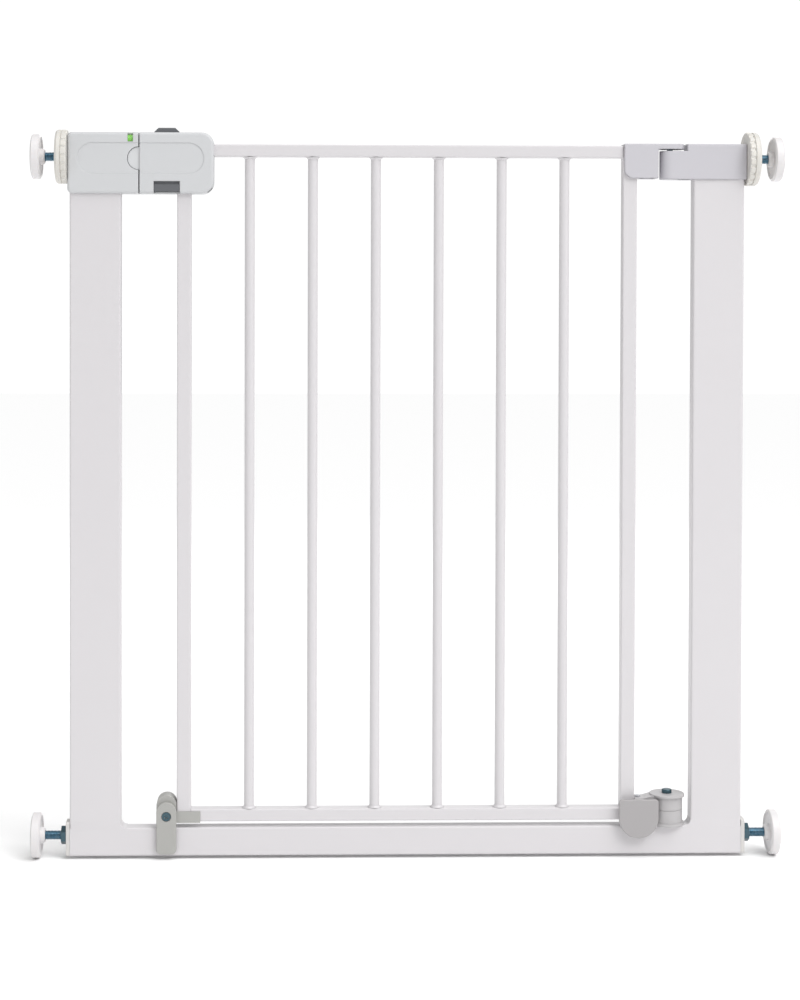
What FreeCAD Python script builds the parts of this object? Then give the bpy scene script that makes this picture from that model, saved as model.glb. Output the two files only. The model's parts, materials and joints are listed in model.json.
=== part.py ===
import FreeCAD, Part
import os
import re
import Sketcher

# A pressure-mounted safety gate. +X runs along the gate from the latch to the hinge side, -Y faces the
# person who opens it, +Z is up. Every piece is drawn with z = 0 at the underside of the frame and is then
# lifted by floor_gap, so that the lowest point of the wall pads lies at z = 0.

doc = FreeCAD.newDocument("SafetyGate")
sheet = doc.addObject("Spreadsheet::Sheet", "Sizes")

SIZES = {
    # fixed U-shaped frame of flat tube
    "floor_gap": 3, "frame_wide": 714, "upright_wide": 54, "frame_deep": 18, "frame_wall": 1.2,
    "frame_round": 2, "rail_high": 30, "upright_top": 751, "corner_weld": 6,
    # door
    "door_low": 36, "door_top": 753.4, "door_rail_high": 13, "stile_wide": 15, "door_deep": 15,
    "door_wall": 1.2, "door_round": 1.5, "bar_radius": 5.3, "bar_wall": 1, "bar_flare": 2.2,
    "split_inset": 73.1, "split_gap": 1.2, "stile_setback": 39.9, "hinge_inset": 78, "hinge_setback": 36,
    # latch housings
    "latch_low": 701, "latch_top": 765.5, "latch_half": 13, "latch_reach": 78.1, "cover_wall": 2,
    "cover_round": 3, "outer_corner": 5, "inner_corner": 13, "seat_gap": 0.2, "badge_half_high": 16.4,
    "badge_inset": 10.5, "badge_depth": 0.5,
    # latch works
    "bolt_level": 738, "bolt_radius": 12, "bolt_front": 10.6, "bolt_back": 5.4, "bolt_tail": 24.9,
    "bolt_gap": 0.4, "keeper_wall": 2.6, "drum_radius": 5, "drum_level": 757.9, "drum_back": 5.4, "window_low": 755.5, "window_deep": 9,
    "drum_half": 3.5, "drum_axle": 1.5, "drum_inset": 9.1, "window_half": 2.75,
    "top_button_left": 15.9, "top_button_wide": 26.6, "top_button_proud": 5, "top_button_half": 8,
    "low_button_high": 7.4, "low_button_lip": 5, "screw_radius": 1.6, "screw_head": 3, "boss_radius": 3.6,
    # spindles
    "spindle_top": 740, "spindle_low": 20.5, "rod_radius": 5, "rod_long": 75, "fit_gap": 0.05,
    "wall_reach": 40.5, "pad_radius": 23.5, "pad_thick": 8.5, "pad_hub": 8, "pad_hub_long": 4,
    "face_radius": 21, "face_thick": 1.5, "bush_radius": 7.5, "bush_long": 14, "wheel_radius": 28.5,
    "wheel_thick": 12, "wheel_rim": 6, "wheel_gap": 0.3, "scallop_radius": 2.4, "scallops": 20,
    "cap_thick": 4, "cap_high": 36, "plug_long": 12, "nut_flats": 17, "nut_thick": 5.2,
    # upper hinge
    "hinge_half": 11, "hinge_low": 718, "hinge_top": 755.5, "hinge_step": 748, "step_reach": 17,
    "cap_reach": 14, "cap_inset": 50, "cap_low": 719, "cap_corner": 10, "arm_low": 750,
    "arm_radius": 15, "pin_radius": 3,
    # lower hinge
    "barrel_radius": 16.5, "flange_radius": 18, "flange_high": 3, "barrel_split": 47.2,
    "disc_radius": 18.6, "disc_low": 60.5, "disc_top": 63, "web_reach": 17.8, "web_top": 59.5,
    "web_front": 10.5, "tab_long": 10, "bolt_shank": 4, "hinge_bolt_head": 5.3, "hinge_bolt_high": 4,
    "hinge_nut_flats": 13, "hinge_nut_thick": 6, "spring_coil": 9.5, "spring_wire": 0.8, "spring_room": 3,
    "shield_left": 54, "shield_right": 12, "shield_low": 19, "shield_top": 60, "shield_front": 19.8,
    "shield_back": 17,
    # swing stop
    "stop_wide": 21, "stop_back": 7.5, "stop_front": 10.2, "stop_dome": 64.5, "stop_pivot": 43,
    "flap_low": 3, "flap_top": 58, "flap_front": 15, "flap_back": 10.6, "sleeve_long": 25,
    "sleeve_wall": 1.5,
}
BARS = 6

for row, (alias, value) in enumerate(SIZES.items(), start=1):
    sheet.set(f"A{row}", alias)
    sheet.set(f"B{row}", str(value))
    sheet.setAlias(f"B{row}", alias)
doc.recompute()

# Places that several pieces share, as formulas over the sheet.
HALF = "frame_wide / 2"
SPLIT = "(split_inset - frame_wide / 2)"
FRAME_END = "(split_inset - frame_wide / 2 - split_gap / 2)"
DOOR_END = "(split_inset - frame_wide / 2 + split_gap / 2)"
AXIS = "(frame_wide / 2 - hinge_inset)"
STILE_LEFT = f"({SPLIT} + stile_setback)"
STILE_INNER = f"({STILE_LEFT} + stile_wide)"
HINGE_STILE = f"({AXIS} - hinge_setback)"
HINGE_INNER = f"({HINGE_STILE} - stile_wide)"
HOUSING_LEFT = f"(-{HALF} - cover_wall - seat_gap)"
COVER_RIGHT = f"({DOOR_END} + latch_reach)"
CAP_LEFT = f"({AXIS} - cap_inset)"
BUTTON_LEFT = f"({SPLIT} + top_button_left)"
BUTTON_RIGHT = f"({BUTTON_LEFT} + top_button_wide)"
STOP_X = f"({STILE_LEFT} - 0.2 - stop_wide / 2)"
WINDOW_X = f"({SPLIT} - drum_inset)"
COVER_IN = "(latch_half - cover_wall)"

finished = {}


def formula(words):
    """Turns a formula over plain size names into one that the document's objects understand."""
    return re.sub(r"[a-z]\w+", lambda found: "Sizes." + found.group(), str(words))


def number(words):
    return float(sheet.evalExpression(formula(words)))


def bind(thing, prop, words):
    thing.setExpression(prop, formula(words))


def place(thing, x=None, y=None, z=None):
    for letter, words in (("x", x), ("y", y), ("z", z)):
        if words is not None:
            bind(thing, f".Placement.Base.{letter}", words)


# ---- Part primitives -------------------------------------------------------------------------------

def box(name, x, y, z):
    """A box between pairs of formulas."""
    piece = doc.addObject("Part::Box", name)
    for prop, (low, high) in (("Length", x), ("Width", y), ("Height", z)):
        bind(piece, prop, f"({high}) - ({low})")
    place(piece, x[0], y[0], z[0])
    return piece


TURNS = {
    "x": FreeCAD.Rotation(FreeCAD.Vector(0, 1, 0), 90),
    "y": FreeCAD.Rotation(FreeCAD.Vector(1, 0, 0), -90),
    "z": FreeCAD.Rotation(),
}


def rod(name, along, span, radius, x="0", y="0", z="0"):
    """A cylinder along x, y or z between the two formulas of span; the other places give its axis."""
    piece = doc.addObject("Part::Cylinder", name)
    bind(piece, "Radius", radius)
    bind(piece, "Height", f"({span[1]}) - ({span[0]})")
    piece.Placement = FreeCAD.Placement(FreeCAD.Vector(), TURNS[along])
    spots = {"x": x, "y": y, "z": z}
    spots[along] = span[0]
    place(piece, **spots)
    return piece


def join(name, *pieces):
    whole = doc.addObject("Part::MultiFuse", name)
    whole.Shapes = list(pieces)
    whole.Refine = True
    return whole


def cut(name, base, *tools):
    whole = doc.addObject("Part::Cut", name)
    whole.Base = base
    whole.Tool = tools[0] if len(tools) == 1 else join(name + "_tools", *tools)
    whole.Refine = True
    return whole


def common(name, first, second):
    whole = doc.addObject("Part::Common", name)
    whole.Base = first
    whole.Tool = second
    return whole


def group(name, *pieces):
    """Separate solids of one kind in one sub-part."""
    whole = doc.addObject("Part::Compound", name)
    whole.Links = list(pieces)
    return whole


def soften(name, base, radius, chosen):
    """Rounds the edges of a Part object that the test picks."""
    doc.recompute()
    whole = doc.addObject("Part::Fillet", name)
    whole.Base = base
    size = number(radius)
    whole.Edges = [(i, size, size) for i, edge in enumerate(base.Shape.Edges, start=1) if chosen(edge)]
    return whole


def ends(edge):
    return [vertex.Point for vertex in edge.Vertexes]


def lies_at(edge, **where):
    """True where every end of a straight edge has the given coordinates."""
    points = ends(edge)
    if len(points) < 2:
        return False
    return all(abs(getattr(p, letter) - number(words)) < 0.01
               for p in points for letter, words in where.items())


def runs_along(edge, letter):
    points = ends(edge)
    if len(points) < 2 or edge.Curve.TypeId != "Part::GeomLine":
        return False
    others = [other for other in "xyz" if other != letter]
    return all(abs(getattr(points[0], o) - getattr(points[1], o)) < 0.01 for o in others)


# ---- PartDesign bodies -----------------------------------------------------------------------------

def new_body(name):
    return doc.addObject("PartDesign::Body", name)


def new_sketch(body, name, plane, offset=None):
    sketch = body.newObject("Sketcher::SketchObject", name)
    origin = [part for part in body.Origin.OriginFeatures if part.Role == plane][0]
    sketch.AttachmentSupport = [(origin, "")]
    sketch.MapMode = "FlatFace"
    if offset is not None:
        bind(sketch, ".AttachmentOffset.Base.z", offset)
    return sketch


def tie(sketch, kind, *places_and_words):
    """Adds a distance that follows the sheet."""
    *places, words = places_and_words
    value = number(words)
    if kind in ("DistanceX", "DistanceY") and abs(value) < 1e-9:
        axis = -2 if kind == "DistanceX" else -1
        sketch.addConstraint(Sketcher.Constraint("PointOnObject", places[2], places[3], axis))
        return
    index = sketch.addConstraint(Sketcher.Constraint(kind, *places, value))
    sketch.setExpression(f"Constraints[{index}]", formula(words))


def outline(sketch, corners):
    """A closed outline of straight lines; each corner is a pair of formulas."""
    points = [FreeCAD.Vector(number(across), number(up), 0) for across, up in corners]
    first = sketch.GeometryCount
    count = len(points)
    for i, point in enumerate(points):
        sketch.addGeometry(Part.LineSegment(point, points[(i + 1) % count]), False)
    for i in range(count):
        sketch.addConstraint(Sketcher.Constraint("Coincident", first + i, 2, first + (i + 1) % count, 1))
    for i, (across, up) in enumerate(corners):
        tie(sketch, "DistanceX", -1, 1, first + i, 1, across)
        tie(sketch, "DistanceY", -1, 1, first + i, 1, up)


def rectangle(sketch, across, up):
    outline(sketch, [(across[0], up[0]), (across[1], up[0]), (across[1], up[1]), (across[0], up[1])])


def circle(sketch, across, up, radius):
    middle = FreeCAD.Vector(number(across), number(up), 0)
    index = sketch.addGeometry(Part.Circle(middle, FreeCAD.Vector(0, 0, 1), number(radius)), False)
    tie(sketch, "DistanceX", -1, 1, index, 3, across)
    tie(sketch, "DistanceY", -1, 1, index, 3, up)
    tie(sketch, "Radius", index, radius)


def pad(body, name, sketch, length, back=False):
    """Fills the sketch along its normal, or against it where back is set."""
    feature = body.newObject("PartDesign::Pad", name)
    feature.Profile = sketch
    bind(feature, "Length", length)
    feature.Reversed = back
    doc.recompute()
    return feature


def pocket(body, name, sketch, length, back=False):
    """Cuts the sketch along its normal, or against it where back is set, and checks that it cut."""
    before = body.Shape.Volume
    feature = body.newObject("PartDesign::Pocket", name)
    feature.Profile = sketch
    bind(feature, "Length", length)
    feature.Reversed = not back
    doc.recompute()
    if body.Shape.Volume >= before:
        raise ValueError(f"{body.Name}: {name} removes nothing")
    return feature


def turn(body, name, sketch, axis="H_Axis"):
    feature = body.newObject("PartDesign::Revolution", name)
    feature.Profile = sketch
    feature.ReferenceAxis = (sketch, [axis])
    feature.Angle = 360
    doc.recompute()
    return feature


def round_off(body, name, radius, chosen):
    """A fillet on the edges of the body's newest feature that the test picks."""
    doc.recompute()
    tip = body.Tip
    names = [f"Edge{i}" for i, edge in enumerate(tip.Shape.Edges, start=1) if chosen(edge)]
    feature = body.newObject("PartDesign::Fillet", name)
    feature.Base = (tip, names)
    bind(feature, "Radius", radius)
    doc.recompute()
    return feature


def keep(node, piece):
    """Names a finished sub-part, and lifts it from the frame's underside to its place above the floor."""
    own = piece.Placement.Base.z
    piece.Label = node
    if any(path.endswith("Base.z") for path, _ in piece.ExpressionEngine):
        lifted = [words for path, words in piece.ExpressionEngine if path.endswith("Base.z")][0]
        piece.setExpression(".Placement.Base.z", f"{lifted} + Sizes.floor_gap")
    elif abs(own) < 1e-9:
        bind(piece, ".Placement.Base.z", "floor_gap")
    finished[node] = piece


def flat_tube(node, plane, across, up, wall, roundness, start, length, along):
    """A rectangular tube: outer and inner outlines in a plane, filled from start over length."""
    body = new_body(node)
    sketch = new_sketch(body, node + "_section", plane, start)
    rectangle(sketch, across, up)
    pad(body, node + "_tube", sketch, length)
    round_off(body, node + "_corners", roundness, lambda edge: runs_along(edge, along))
    hollow = new_sketch(body, node + "_hollow", plane, start)
    inner = [(f"({low}) + {wall}", f"({high}) - {wall}") for low, high in (across, up)]
    rectangle(hollow, *inner)
    pocket(body, node + "_bore", hollow, length)
    return body


# ---- frame -----------------------------------------------------------------------------------------

def make_frame():
    deep = ("-frame_deep / 2", "frame_deep / 2")
    for side, low, high, hole in (("left", f"-{HALF}", f"-{HALF} + upright_wide", f"-{HALF}"),
                                  ("right", f"{HALF} - upright_wide", HALF, f"{HALF} - frame_wall")):
        node = side + "_upright"
        tube = flat_tube(node + "_tube", "XY_Plane", (low, high), deep, "frame_wall", "frame_round",
                         "rail_high", "upright_top - rail_high", "z")
        seat = rod(node + "_seat", "x", (f"{hole} - 1", f"{hole} + frame_wall + 1"),
                   "bush_radius + fit_gap", z="spindle_top")
        keep(node, cut(node, tube, seat))

    rail = flat_tube("bottom_rail_tube", "YZ_Plane", deep, ("0", "rail_high"), "frame_wall",
                     "frame_round", f"-{HALF}", "frame_wide", "x")
    hole = rod("hinge_bolt_hole", "z", ("rail_high - frame_wall - 1", "rail_high + 1"),
               "bolt_shank + fit_gap", x=AXIS)
    keep("bottom_rail", cut("bottom_rail", rail, hole))

    welds = []
    for side, sign in (("left", ""), ("right", "-")):
        low, high = (f"-({HALF} - upright_wide)", f"-({HALF} - upright_wide - corner_weld)")
        if sign == "-":
            low, high = (f"{HALF} - upright_wide - corner_weld", f"{HALF} - upright_wide")
            middle = low
        else:
            middle = high
        block = box(side + "_weld_block", (low, high), ("-frame_deep / 2 + frame_round",
                    "frame_deep / 2 - frame_round"), ("rail_high", "rail_high + corner_weld"))
        hollow = rod(side + "_weld_hollow", "y", ("-frame_deep", "frame_deep"), "corner_weld",
                     x=middle, z="rail_high + corner_weld")
        welds.append(cut(side + "_weld", block, hollow))
    keep("frame_corner_welds", group("frame_corner_welds", *welds))


def make_end_cap(side, sign):
    """The plastic plug that closes one end of the bottom rail and guides the lower spindle."""
    face = f"{HALF} + seat_gap / 2"
    outer = (face, f"{HALF} + cap_thick")
    inner = (f"{HALF} - plug_long", face)
    if sign < 0:
        outer = (f"-({outer[1]})", f"-({outer[0]})")
        inner = (f"-({inner[1]})", f"-({inner[0]})")
    room = "frame_deep / 2 - frame_wall - seat_gap / 2"
    plate = box(side + "_cap_block", outer, ("-frame_deep / 2", "frame_deep / 2"), ("0", "cap_high"))
    plate = soften(side + "_cap_plate", plate, "frame_round", lambda edge: runs_along(edge, "x"))
    plug = box(side + "_cap_plug", inner, (f"-({room})", room),
               ("frame_wall + seat_gap / 2", "rail_high - frame_wall - seat_gap / 2"))
    way = (f"{HALF} - plug_long - 5", f"{HALF} + cap_thick + 5")
    if sign < 0:
        way = (f"-({way[1]})", f"-({way[0]})")
    bore = rod(side + "_cap_bore", "x", way, "rod_radius + fit_gap", z="spindle_low")
    keep(side + "_end_cap", cut(side + "_end_cap", join(side + "_cap_solid", plate, plug), bore))


# ---- spindles --------------------------------------------------------------------------------------
# Each is drawn along +X from the frame's side face and set in place, turned round on the left.

def outward(body, sign, level):
    body.Placement = FreeCAD.Placement(FreeCAD.Vector(), FreeCAD.Rotation(FreeCAD.Vector(0, 0, 1),
                                                                          0 if sign > 0 else 180))
    place(body, HALF if sign > 0 else f"-{HALF}", "0", level)


def lathe(node, sign, level, corners):
    body = new_body(node)
    sketch = new_sketch(body, node + "_profile", "XZ_Plane")
    outline(sketch, corners)
    turn(body, node + "_turned", sketch)
    outward(body, sign, level)
    return body


def make_spindle(corner, sign, level):
    tail = "wall_reach - face_thick - rod_long"
    lathe_rod = lathe(corner + "_rod", sign, level, [
        (tail, "0"), ("wall_reach - face_thick - 2", "0"), ("wall_reach - face_thick - 2", "rod_radius"),
        (f"{tail} + 1", "rod_radius"), (tail, "rod_radius - 1")])
    keep(corner + "_rod", lathe_rod)
    back = "wall_reach - face_thick - pad_thick"
    rim = "wall_reach - face_thick"
    cup = lathe(corner + "_pad", sign, level, [
        (f"{back} - pad_hub_long", "rod_radius + fit_gap"), (f"{back} - pad_hub_long", "pad_hub - 1"),
        (f"{back} - pad_hub_long + 1", "pad_hub"), (f"{back} + 1.5", "pad_hub + 1"),
        (f"{back} + 1.5", "pad_radius - 4"), (back, "pad_radius - 2.5"), (f"{back} + 1.5", "pad_radius"),
        (rim, "pad_radius"), (f"{rim} + face_thick / 2", "pad_radius - 0.7"),
        (f"{rim} + face_thick / 2", "face_radius + seat_gap / 2"), (rim, "face_radius + seat_gap / 2"),
        (rim, "0"), (f"{rim} - 2", "0"), (f"{rim} - 2", "rod_radius + fit_gap")])
    keep(corner + "_pad", cup)
    keep(corner + "_pad_face", lathe(corner + "_pad_face", sign, level, [
        (rim, "0"), ("wall_reach", "0"), ("wall_reach", "face_radius - 0.6"),
        ("wall_reach - 0.6", "face_radius"), (rim, "face_radius")]))


def make_bush(corner, sign, level):
    keep(corner + "_bush", lathe(corner + "_bush", sign, level, [
        ("-bush_long", "rod_radius + fit_gap"), ("cover_wall + seat_gap", "rod_radius + fit_gap"),
        ("cover_wall + seat_gap", "bush_radius"), ("-bush_long", "bush_radius")]))


def make_wheel(corner, sign, level):
    """A hand wheel: a hub and web inside a scalloped rim, threaded on the rod."""
    near = "cover_wall + seat_gap + wheel_gap"
    far = f"{near} + wheel_thick"
    body = lathe(corner + "_wheel", sign, level, [
        (near, "rod_radius + fit_gap"), (far, "rod_radius + fit_gap"), (far, "rod_radius + 4"),
        (f"{far} - 2.5", "rod_radius + 5"), (f"{far} - 2.5", "wheel_radius - wheel_rim"),
        (far, "wheel_radius - wheel_rim + 1"), (far, "wheel_radius - 1.6"), (f"{far} - 2", "wheel_radius"),
        (f"{near} + wheel_thick / 2 + 0.5", "wheel_radius"), (f"{near} + wheel_thick / 2", "wheel_radius - 0.9"),
        (f"{near} + wheel_thick / 2 - 0.5", "wheel_radius"), (f"{near} + 1", "wheel_radius"),
        (near, "wheel_radius - 1")])
    sketch = new_sketch(body, corner + "_scallop_profile", "YZ_Plane", near)
    circle(sketch, "0", "wheel_radius + scallop_radius - 1", "scallop_radius")
    notch = pocket(body, corner + "_scallop", sketch, "wheel_thick / 2 - 0.5")
    pattern = body.newObject("PartDesign::PolarPattern", corner + "_scallops")
    pattern.Originals = [notch]
    pattern.Axis = (sketch, ["N_Axis"])
    pattern.Angle = 360
    pattern.Occurrences = int(number("scallops"))
    body.Tip = pattern
    keep(corner + "_wheel", body)


def make_nut(name, along_x, flats, thick, bore, x, z, sign=1):
    """A hexagon nut; its axis lies along X or Z."""
    body = new_body(name)
    sketch = new_sketch(body, name + "_hexagon", "YZ_Plane" if along_x else "XY_Plane")
    half = f"({flats}) / 2"
    tip = f"({flats}) / 2 * 1.1547"
    outline(sketch, [(half, f"{tip} / 2"), ("0", tip), (f"-{half}", f"{tip} / 2"),
                     (f"-{half}", f"-{tip} / 2"), ("0", f"-{tip}"), (half, f"-{tip} / 2")])
    circle(sketch, "0", "0", bore)
    pad(body, name + "_blank", sketch, thick, back=sign < 0)
    place(body, x, "0", z)
    keep(name, body)


# ---- latch -----------------------------------------------------------------------------------------

def cover(name, left, right, corner_side, corner_radius, front):
    """Half of a latch housing: a shell that is open towards the other half at y = 0."""
    body = new_body(name)
    shell = new_sketch(body, name + "_outline", "XZ_Plane")
    rectangle(shell, (left, right), ("latch_low", "latch_top"))
    pad(body, name + "_block", shell, "latch_half", back=not front)
    outer = number(left if corner_side == "left" else right)
    round_off(body, name + "_corner", corner_radius,
              lambda edge: runs_along(edge, "y") and abs(ends(edge)[0].x - outer) < 0.01)
    depth = number("latch_half") * (-1 if front else 1)
    split_x = number(right if corner_side == "left" else left)
    round_off(body, name + "_edge", "cover_round",
              lambda edge: all(abs(p.y - depth) < 0.01 for p in ends(edge))
              and not all(abs(p.x - split_x) < 0.01 for p in ends(edge)))
    room = new_sketch(body, name + "_room", "XZ_Plane")
    rectangle(room, (f"({left}) + cover_wall", f"({right}) - cover_wall"),
              ("latch_low + cover_wall", "latch_top - cover_wall"))
    pocket(body, name + "_hollow", room, COVER_IN, back=not front)
    return body


def boss(name, x, z, front):
    """A screw boss inside a latch cover, reaching from its wall to the joint at y = 0."""
    span = (f"-{COVER_IN}", "0") if front else ("0", COVER_IN)
    return rod(name, "y", span, "boss_radius", x=x, z=z)


def latch_screw(name, x, z):
    """A countersunk screw from the rear cover into the front one."""
    shank = rod(name + "_shank", "y", ("-6", COVER_IN), "screw_radius", x=x, z=z)
    head = rod(name + "_head", "y", (COVER_IN, "latch_half - 0.3"), "screw_head", x=x, z=z)
    return join(name, shank, head)


def screw_way(name, x, z, front):
    if front:
        return rod(name, "y", ("-6.5", "1"), "screw_radius + fit_gap", x=x, z=z)
    shank = rod(name + "_shank_way", "y", ("-1", "latch_half"), "screw_radius + fit_gap", x=x, z=z)
    head = rod(name + "_head_way", "y", (COVER_IN, "latch_half + 1"), "screw_head + fit_gap", x=x, z=z)
    return join(name, shank, head)


def badge_cut(name):
    """A shallow field with round ends that crosses both front covers."""
    left = f"({HOUSING_LEFT} + badge_inset + badge_half_high)"
    right = f"({COVER_RIGHT} - badge_inset - badge_half_high)"
    span = ("-latch_half - 1", "-latch_half + badge_depth")
    middle = box(name + "_middle", (left, right), span,
                 ("bolt_level - badge_half_high", "bolt_level + badge_half_high"))
    rounds = [rod(f"{name}_end_{i}", "y", span, "badge_half_high", x=x, z="bolt_level")
              for i, x in enumerate((left, right))]
    return join(name, middle, *rounds)


def make_latch():
    frame_screws = [(f"(-{HALF} + 17)", "latch_top - cover_wall - 5.7"), (f"({FRAME_END} - 9)", "latch_low + 9")]
    door_screws = [(f"({COVER_RIGHT} - 14)", "latch_low + 10"), (f"({DOOR_END} + 7.5)", "latch_low + 9")]
    badge = badge_cut("badge_field")
    window_x = (f"{WINDOW_X} - window_half", f"{WINDOW_X} + window_half")

    for front in (True, False):
        end = "front" if front else "rear"
        inside = (f"-{COVER_IN}", "0") if front else ("0", COVER_IN)
        # frame side
        shell = cover(f"frame_{end}_shell", HOUSING_LEFT, FRAME_END, "left", "outer_corner", front)
        bosses = [boss(f"frame_{end}_boss_{i}", x, z, front) for i, (x, z) in enumerate(frame_screws)]
        half_tube = ("-frame_deep / 2 - seat_gap", "0.01") if front else ("-0.01", "frame_deep / 2 + seat_gap")
        ways = [screw_way(f"frame_{end}_way_{i}", x, z, front) for i, (x, z) in enumerate(frame_screws)]
        ways.append(box(f"frame_{end}_tube_way", (f"-{HALF} - seat_gap", f"-{HALF} + upright_wide + seat_gap"),
                        half_tube, ("latch_low - 1", "upright_top + seat_gap")))
        ways.append(rod(f"frame_{end}_bush_way", "x", (f"{HOUSING_LEFT} - 1", f"-{HALF} + 1"),
                        "bush_radius + fit_gap", z="spindle_top"))
        keeper_span = ("-latch_half + cover_wall", "1") if front else ("-1", "bolt_back + bolt_gap + 2 + seat_gap")
        ways.append(rod(f"frame_{end}_keeper_way", "y", keeper_span,
                        "bolt_radius + bolt_gap + keeper_wall + seat_gap / 2", x=SPLIT, z="bolt_level"))
        if front:
            ways.append(rod("notch_way", "y", ("-latch_half - 1", "0"), "bolt_radius + bolt_gap",
                            x=SPLIT, z="bolt_level"))
            ways.append(badge)
            lens_cut = box("window_way", (f"{window_x[0]} - fit_gap", f"{window_x[1]} + fit_gap"),
                           ("-latch_half - 1", "window_deep - latch_half + fit_gap"),
                           ("window_low - fit_gap", "latch_top + 1"))
            ways.append(lens_cut)
            lens_block = box("lens_block", window_x, ("-latch_half - 1", "window_deep - latch_half"),
                             ("window_low", "latch_top + 1"))
            keep("indicator_lens", common("indicator_lens", shell, lens_block))
        supports = drum_supports(front)
        shell = join(f"frame_{end}_ribbed", shell, *bosses, *supports)
        keep(f"frame_latch_{end}", cut(f"frame_latch_{end}", shell, *ways))

        # door side
        shell = cover(f"gate_{end}_shell", DOOR_END, COVER_RIGHT, "right", "inner_corner", front)
        bosses = [boss(f"gate_{end}_boss_{i}", x, z, front) for i, (x, z) in enumerate(door_screws)]
        shell = join(f"gate_{end}_ribbed", shell, *bosses)
        half_stile = ("-door_deep / 2 - seat_gap", "0.01") if front else ("-0.01", "door_deep / 2 + seat_gap")
        ways = [screw_way(f"gate_{end}_way_{i}", x, z, front) for i, (x, z) in enumerate(door_screws)]
        ways.append(box(f"gate_{end}_stile_way", (f"{STILE_LEFT} - seat_gap", f"{STILE_INNER} + seat_gap"),
                        half_stile, ("latch_low - 1", "door_top")))
        ways.append(box(f"gate_{end}_rail_way", (f"{COVER_RIGHT} - cover_wall - 1", f"{COVER_RIGHT} + 1"),
                        half_stile, ("door_top - door_rail_high - seat_gap", "door_top + seat_gap")))
        bolt_span = ("-bolt_front - bolt_gap / 2", "1") if front else ("-1", "bolt_back + bolt_gap")
        ways.append(box(f"gate_{end}_bolt_way", (f"{DOOR_END} - 1", f"{DOOR_END} + cover_wall + 1"), bolt_span,
                        ("bolt_level - bolt_radius - bolt_gap", "bolt_level + bolt_radius + bolt_gap")))
        button_half = ("-top_button_half - bolt_gap", "0.01") if front else ("-0.01", "top_button_half + bolt_gap")
        ways.append(box(f"gate_{end}_button_way", (f"{BUTTON_LEFT} - bolt_gap", f"{BUTTON_RIGHT} + bolt_gap"),
                        button_half, ("latch_top - cover_wall - 1", "latch_top + 1")))
        if front:
            ways.append(badge)
            ways.append(box("low_button_way", (f"{BUTTON_LEFT} - bolt_gap", f"{BUTTON_RIGHT} + bolt_gap"),
                            ("-latch_half - 1", "-8"), ("latch_low - 1", "latch_low + 2.2 + low_button_high + 3.4")))
        keep(f"gate_latch_{end}", cut(f"gate_latch_{end}", shell, *ways))

    keep("frame_latch_screws", group("frame_latch_screws", *[
        latch_screw(f"frame_latch_screw_{i}", x, z) for i, (x, z) in enumerate(frame_screws)]))
    keep("gate_latch_screws", group("gate_latch_screws", *[
        latch_screw(f"gate_latch_screw_{i}", x, z) for i, (x, z) in enumerate(door_screws)]))
    make_keeper()
    make_bolt()
    make_buttons()
    make_drum()


def drum_supports(front):
    """Two ribs in the front cover that hold the indicator's axle."""
    if not front:
        return []
    ribs = []
    for i, (low, high) in enumerate(((f"{WINDOW_X} - drum_half - 2.3", f"{WINDOW_X} - drum_half - 0.3"),
                                     (f"{WINDOW_X} + drum_half + 0.3", f"{WINDOW_X} + drum_half + 1.6"))):
        rib = box(f"drum_rib_{i}", (low, high), (f"-{COVER_IN} - 0.5", "0"),
                  ("drum_level - 3.5", "latch_top - cover_wall + 0.5"))
        hole = rod(f"drum_rib_hole_{i}", "x", (f"{low} - 1", f"{high} + 1"), "drum_axle + fit_gap",
                   y="-drum_back", z="drum_level")
        ribs.append(cut(f"drum_rib_bored_{i}", rib, hole))
    return ribs


def make_keeper():
    """A half-round cup at the joint between the two housings that takes the nose of the bolt."""
    outer = "bolt_radius + bolt_gap + keeper_wall"
    back = "bolt_back + bolt_gap + 2"
    cup = rod("keeper_blank", "y", ("-latch_half + cover_wall", back), outer, x=SPLIT, z="bolt_level")
    room = rod("keeper_room", "y", ("-latch_half", "bolt_back + bolt_gap"), "bolt_radius + bolt_gap",
               x=SPLIT, z="bolt_level")
    other = box("keeper_open_side", (FRAME_END, f"{SPLIT} + 30"), ("-20", "20"),
                ("bolt_level - 30", "bolt_level + 30"))
    keep("keeper", cut("keeper", cup, room, other))


def make_bolt():
    """The latch bolt: a plate with a round nose, bored from behind for its spring."""
    span = ("-bolt_front", "bolt_back")
    nose = rod("bolt_nose", "y", span, "bolt_radius", x=SPLIT, z="bolt_level")
    plate = box("bolt_plate", (SPLIT, f"{SPLIT} + bolt_tail"), span,
                ("bolt_level - bolt_radius", "bolt_level + bolt_radius"))
    well = rod("bolt_spring_well", "x", (f"{SPLIT} + bolt_tail - 16", f"{SPLIT} + bolt_tail + 1"), "4.6",
               y="-2.6", z="bolt_level")
    keep("latch_bolt", cut("latch_bolt", join("bolt_solid", nose, plate), well))
    coil = doc.addObject("Part::Helix", "bolt_spring_path")
    bind(coil, "Radius", "3.9")
    bind(coil, "Height", "stile_setback - bolt_tail + 16 - 1.9")
    bind(coil, "Pitch", "3")
    coil.SegmentLength = 1
    spring_sweep("bolt_spring", coil, 0.45, 3.9, FreeCAD.Rotation(FreeCAD.Vector(0, 1, 0), 90),
                 (f"{SPLIT} + bolt_tail - 16 + 0.9", "-2.6", "bolt_level"))


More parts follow.
